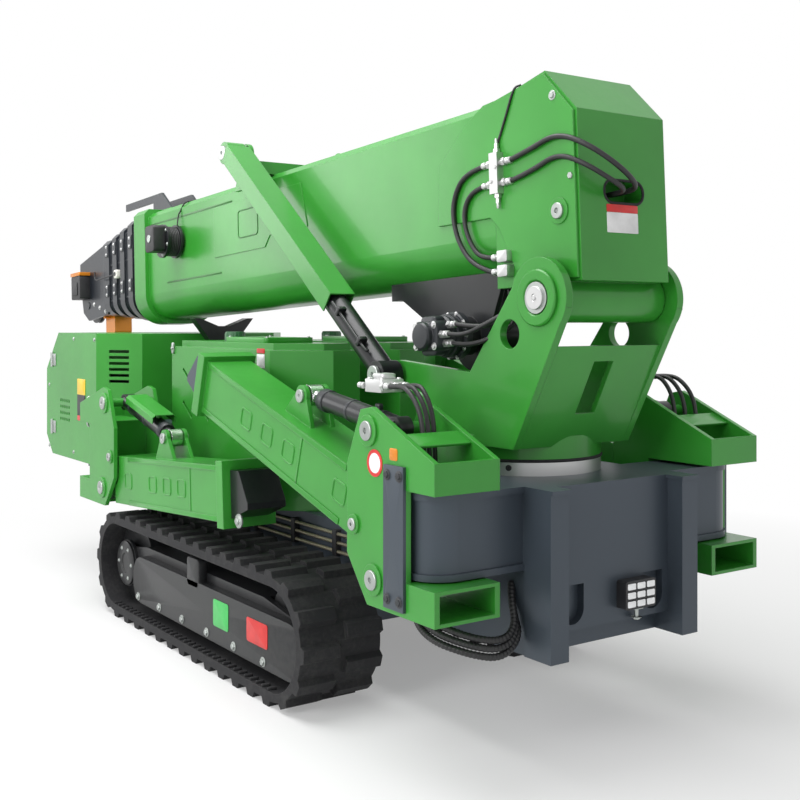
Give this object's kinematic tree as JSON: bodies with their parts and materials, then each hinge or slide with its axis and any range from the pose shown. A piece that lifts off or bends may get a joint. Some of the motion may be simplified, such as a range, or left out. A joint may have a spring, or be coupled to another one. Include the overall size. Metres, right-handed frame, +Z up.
{
  "type": "compact crawler crane with folding outriggers",
  "caption": "Tracked crane with a telescopic boom, twin luffing cylinders, a slewing turret and folding outriggers, stowed for transport.",
  "frame": {"origin": "on the ground under the middle of the machine's box", "axes": "+X towards the slew end, away from the boom's tip; +Z up; -Y is the right-hand side"},
  "size_m": [5.228, 1.558, 2.3851],
  "materials": {
    "green_paint": "gloss",
    "chassis_grey": "satin",
    "rubber": "matt",
    "black_steel": "satin",
    "dark_boom": "satin",
    "bright_steel": "machined",
    "hook_orange": "gloss",
    "lamp_black": "moulded"
  },
  "bodies": {
    "chassis": {"chassis_frame": "chassis_grey", "engine_hood": "green_paint", "engine_block": "black_steel", "boom_rest": "black_steel", "slew_ring": "bright_steel", "work_lamp": "lamp_black", "track_frame_right": "chassis_grey", "track_belt_right": "rubber", "track_wheels_right": "black_steel", "side_tank_right": "green_paint", "track_frame_left": "chassis_grey", "track_belt_left": "rubber", "track_wheels_left": "black_steel", "side_tank_left": "green_paint"},
    "turret": {"turret": "green_paint", "boom_foot_pin": "bright_steel"},
    "boom": {"boom_base": "green_paint", "boom_root": "green_paint", "winch_frame": "black_steel", "cable_reel": "black_steel", "valve_block": "bright_steel"},
    "winch_drum": {"winch_drum": "black_steel"},
    "luff_barrels": {"luff_barrels": "black_steel"},
    "luff_rods": {"luff_rods": "green_paint"},
    "head_sheaves": {"head_sheaves": "black_steel"},
    "boom_section_2": {"boom_section_2": "dark_boom"},
    "boom_section_3": {"boom_section_3": "dark_boom"},
    "boom_section_4": {"boom_section_4": "dark_boom"},
    "boom_section_5": {"boom_section_5": "dark_boom", "boom_head": "black_steel", "hook_block": "hook_orange"},
    "bracket_front_right": {"bracket_front_right": "green_paint"},
    "arm_front_right": {"arm_front_right": "green_paint"},
    "beam_front_right": {"beam_front_right": "black_steel"},
    "cylinder_barrel_front_right": {"cylinder_barrel_front_right": "black_steel"},
    "cylinder_rod_front_right": {"cylinder_rod_front_right": "bright_steel"},
    "bracket_front_left": {"bracket_front_left": "green_paint"},
    "arm_front_left": {"arm_front_left": "green_paint"},
    "beam_front_left": {"beam_front_left": "black_steel"},
    "cylinder_barrel_front_left": {"cylinder_barrel_front_left": "black_steel"},
    "cylinder_rod_front_left": {"cylinder_rod_front_left": "bright_steel"},
    "bracket_rear_right": {"bracket_rear_right": "green_paint"},
    "arm_rear_right": {"arm_rear_right": "green_paint"},
    "beam_rear_right": {"beam_rear_right": "black_steel"},
    "cylinder_barrel_rear_right": {"cylinder_barrel_rear_right": "black_steel"},
    "cylinder_rod_rear_right": {"cylinder_rod_rear_right": "bright_steel"},
    "bracket_rear_left": {"bracket_rear_left": "green_paint"},
    "arm_rear_left": {"arm_rear_left": "green_paint"},
    "beam_rear_left": {"beam_rear_left": "black_steel"},
    "cylinder_barrel_rear_left": {"cylinder_barrel_rear_left": "black_steel"},
    "cylinder_rod_rear_left": {"cylinder_rod_rear_left": "bright_steel"}
  },
  "joints": [
    {"name": "slew", "type": "hinge", "parent": "chassis", "child": "turret", "pos_m": [2.065, 0, 0.9995], "axis": [0, 0, 1], "continuous": true},
    {"name": "boom_luff", "type": "hinge", "parent": "turret", "child": "boom", "pos_m": [2.463, 0, 1.58], "axis": [0, 1, 0], "range_deg": [0, 75]},
    {"name": "boom_extend", "type": "slide", "parent": "boom", "child": "boom_section_2", "axis": [-0.9989, 0, -0.0462], "range_m": [0, 2.9]},
    {"name": "boom_extend_3", "type": "slide", "parent": "boom_section_2", "child": "boom_section_3", "axis": [-0.9989, 0, -0.0462], "range_m": [0, 2.9]},
    {"name": "boom_extend_4", "type": "slide", "parent": "boom_section_3", "child": "boom_section_4", "axis": [-0.9989, 0, -0.0462], "range_m": [0, 2.9]},
    {"name": "boom_extend_5", "type": "slide", "parent": "boom_section_4", "child": "boom_section_5", "axis": [-0.9989, 0, -0.0462], "range_m": [0, 2.9]},
    {"name": "winch_turn", "type": "hinge", "parent": "boom", "child": "winch_drum", "pos_m": [1.90868, 0, 1.44423], "axis": [0, 1, 0], "continuous": true},
    {"name": "sheaves_turn", "type": "hinge", "parent": "boom_section_5", "child": "head_sheaves", "pos_m": [-2.43358, 0, 1.60864], "axis": [0, 1, 0], "continuous": true},
    {"name": "luff_barrel_turn", "type": "hinge", "parent": "turret", "child": "luff_barrels", "pos_m": [1.63503, 0, 1.29006], "axis": [0, 1, 0], "range_deg": [0, 73.8]},
    {"name": "luff_rod_slide", "type": "slide", "parent": "luff_barrels", "child": "luff_rods", "axis": [-0.7922, 0, 0.6103], "range_m": [0, 1.0712]},
    {"name": "outrigger_swing_front_right", "type": "hinge", "parent": "chassis", "child": "bracket_front_right", "pos_m": [2.355, -0.63, 0.635], "axis": [0, 0, 1], "range_deg": [0, 95]},
    {"name": "arm_lower_front_right", "type": "hinge", "parent": "bracket_front_right", "child": "arm_front_right", "pos_m": [2.195, -0.63, 0.635], "axis": [0, -1, 0], "range_deg": [0, 35.5]},
    {"name": "beam_extend_front_right", "type": "slide", "parent": "arm_front_right", "child": "beam_front_right", "axis": [-0.9603, 0, 0.279], "range_m": [0, 0.643]},
    {"name": "cylinder_turn_front_right", "type": "hinge", "parent": "bracket_front_right", "child": "cylinder_barrel_front_right", "pos_m": [2.165, -0.63, 1.132], "axis": [0, -1, 0], "range_deg": [0, 33.44]},
    {"name": "cylinder_slide_front_right", "type": "slide", "parent": "cylinder_barrel_front_right", "child": "cylinder_rod_front_right", "axis": [-0.9905, 0, 0.1374], "range_m": [0, 0.3003]},
    {"name": "outrigger_swing_front_left", "type": "hinge", "parent": "chassis", "child": "bracket_front_left", "pos_m": [2.355, 0.63, 0.635], "axis": [0, 0, -1], "range_deg": [0, 95]},
    {"name": "arm_lower_front_left", "type": "hinge", "parent": "bracket_front_left", "child": "arm_front_left", "pos_m": [2.195, 0.63, 0.635], "axis": [0, -1, 0], "range_deg": [0, 35.5]},
    {"name": "beam_extend_front_left", "type": "slide", "parent": "arm_front_left", "child": "beam_front_left", "axis": [-0.9603, 0, 0.279], "range_m": [0, 0.643]},
    {"name": "cylinder_turn_front_left", "type": "hinge", "parent": "bracket_front_left", "child": "cylinder_barrel_front_left", "pos_m": [2.165, 0.63, 1.132], "axis": [0, -1, 0], "range_deg": [0, 33.44]},
    {"name": "cylinder_slide_front_left", "type": "slide", "parent": "cylinder_barrel_front_left", "child": "cylinder_rod_front_left", "axis": [-0.9905, 0, 0.1374], "range_m": [0, 0.3003]},
    {"name": "outrigger_swing_rear_right", "type": "hinge", "parent": "chassis", "child": "bracket_rear_right", "pos_m": [-0.525, -0.63, 0.635], "axis": [0, 0, -1], "range_deg": [0, 95]},
    {"name": "arm_lower_rear_right", "type": "hinge", "parent": "bracket_rear_right", "child": "arm_rear_right", "pos_m": [-0.365, -0.63, 0.635], "axis": [0, 1, 0], "range_deg": [0, 21.7]},
    {"name": "beam_extend_rear_right", "type": "slide", "parent": "arm_rear_right", "child": "beam_rear_right", "axis": [0.9979, 0, 0.0645], "range_m": [0, 0.5035]},
    {"name": "cylinder_turn_rear_right", "type": "hinge", "parent": "bracket_rear_right", "child": "cylinder_barrel_rear_right", "pos_m": [-0.335, -0.63, 1.076], "axis": [0, 1, 0], "range_deg": [0, 17.52]},
    {"name": "cylinder_slide_rear_right", "type": "slide", "parent": "cylinder_barrel_rear_right", "child": "cylinder_rod_rear_right", "axis": [0.9736, 0, -0.2284], "range_m": [0, 0.1569]},
    {"name": "outrigger_swing_rear_left", "type": "hinge", "parent": "chassis", "child": "bracket_rear_left", "pos_m": [-0.525, 0.63, 0.635], "axis": [0, 0, 1], "range_deg": [0, 95]},
    {"name": "arm_lower_rear_left", "type": "hinge", "parent": "bracket_rear_left", "child": "arm_rear_left", "pos_m": [-0.365, 0.63, 0.635], "axis": [0, 1, 0], "range_deg": [0, 21.7]},
    {"name": "beam_extend_rear_left", "type": "slide", "parent": "arm_rear_left", "child": "beam_rear_left", "axis": [0.9979, 0, 0.0645], "range_m": [0, 0.5035]},
    {"name": "cylinder_turn_rear_left", "type": "hinge", "parent": "bracket_rear_left", "child": "cylinder_barrel_rear_left", "pos_m": [-0.335, 0.63, 1.076], "axis": [0, 1, 0], "range_deg": [0, 17.52]},
    {"name": "cylinder_slide_rear_left", "type": "slide", "parent": "cylinder_barrel_rear_left", "child": "cylinder_rod_rear_left", "axis": [0.9736, 0, -0.2284], "range_m": [0, 0.1569]}
  ],
  "couplings": [
    {"joint": "boom_extend_3", "follows": "boom_extend", "ratio": 1},
    {"joint": "boom_extend_4", "follows": "boom_extend", "ratio": 1},
    {"joint": "boom_extend_5", "follows": "boom_extend", "ratio": 1},
    {"joint": "luff_barrel_turn", "follows": "boom_luff", "ratio": 0.97735},
    {"joint": "luff_rod_slide", "follows": "boom_luff", "m_per_rad": 0.81448},
    {"joint": "arm_lower_front_right", "follows": "outrigger_swing_front_right", "ratio": 0.36842},
    {"joint": "beam_extend_front_right", "follows": "outrigger_swing_front_right", "m_per_rad": 0.38658},
    {"joint": "cylinder_turn_front_right", "follows": "outrigger_swing_front_right", "ratio": 0.34675},
    {"joint": "cylinder_slide_front_right", "follows": "outrigger_swing_front_right", "m_per_rad": 0.17991},
    {"joint": "arm_lower_front_left", "follows": "outrigger_swing_front_left", "ratio": 0.36842},
    {"joint": "beam_extend_front_left", "follows": "outrigger_swing_front_left", "m_per_rad": 0.38658},
    {"joint": "cylinder_turn_front_left", "follows": "outrigger_swing_front_left", "ratio": 0.34675},
    {"joint": "cylinder_slide_front_left", "follows": "outrigger_swing_front_left", "m_per_rad": 0.17991},
    {"joint": "arm_lower_rear_right", "follows": "outrigger_swing_rear_right", "ratio": 0.22316},
    {"joint": "beam_extend_rear_right", "follows": "outrigger_swing_rear_right", "m_per_rad": 0.30244},
    {"joint": "cylinder_turn_rear_right", "follows": "outrigger_swing_rear_right", "ratio": 0.17921},
    {"joint": "cylinder_slide_rear_right", "follows": "outrigger_swing_rear_right", "m_per_rad": 0.093432},
    {"joint": "arm_lower_rear_left", "follows": "outrigger_swing_rear_left", "ratio": 0.22316},
    {"joint": "beam_extend_rear_left", "follows": "outrigger_swing_rear_left", "m_per_rad": 0.30244},
    {"joint": "cylinder_turn_rear_left", "follows": "outrigger_swing_rear_left", "ratio": 0.17921},
    {"joint": "cylinder_slide_rear_left", "follows": "outrigger_swing_rear_left", "m_per_rad": 0.093432}
  ]
}
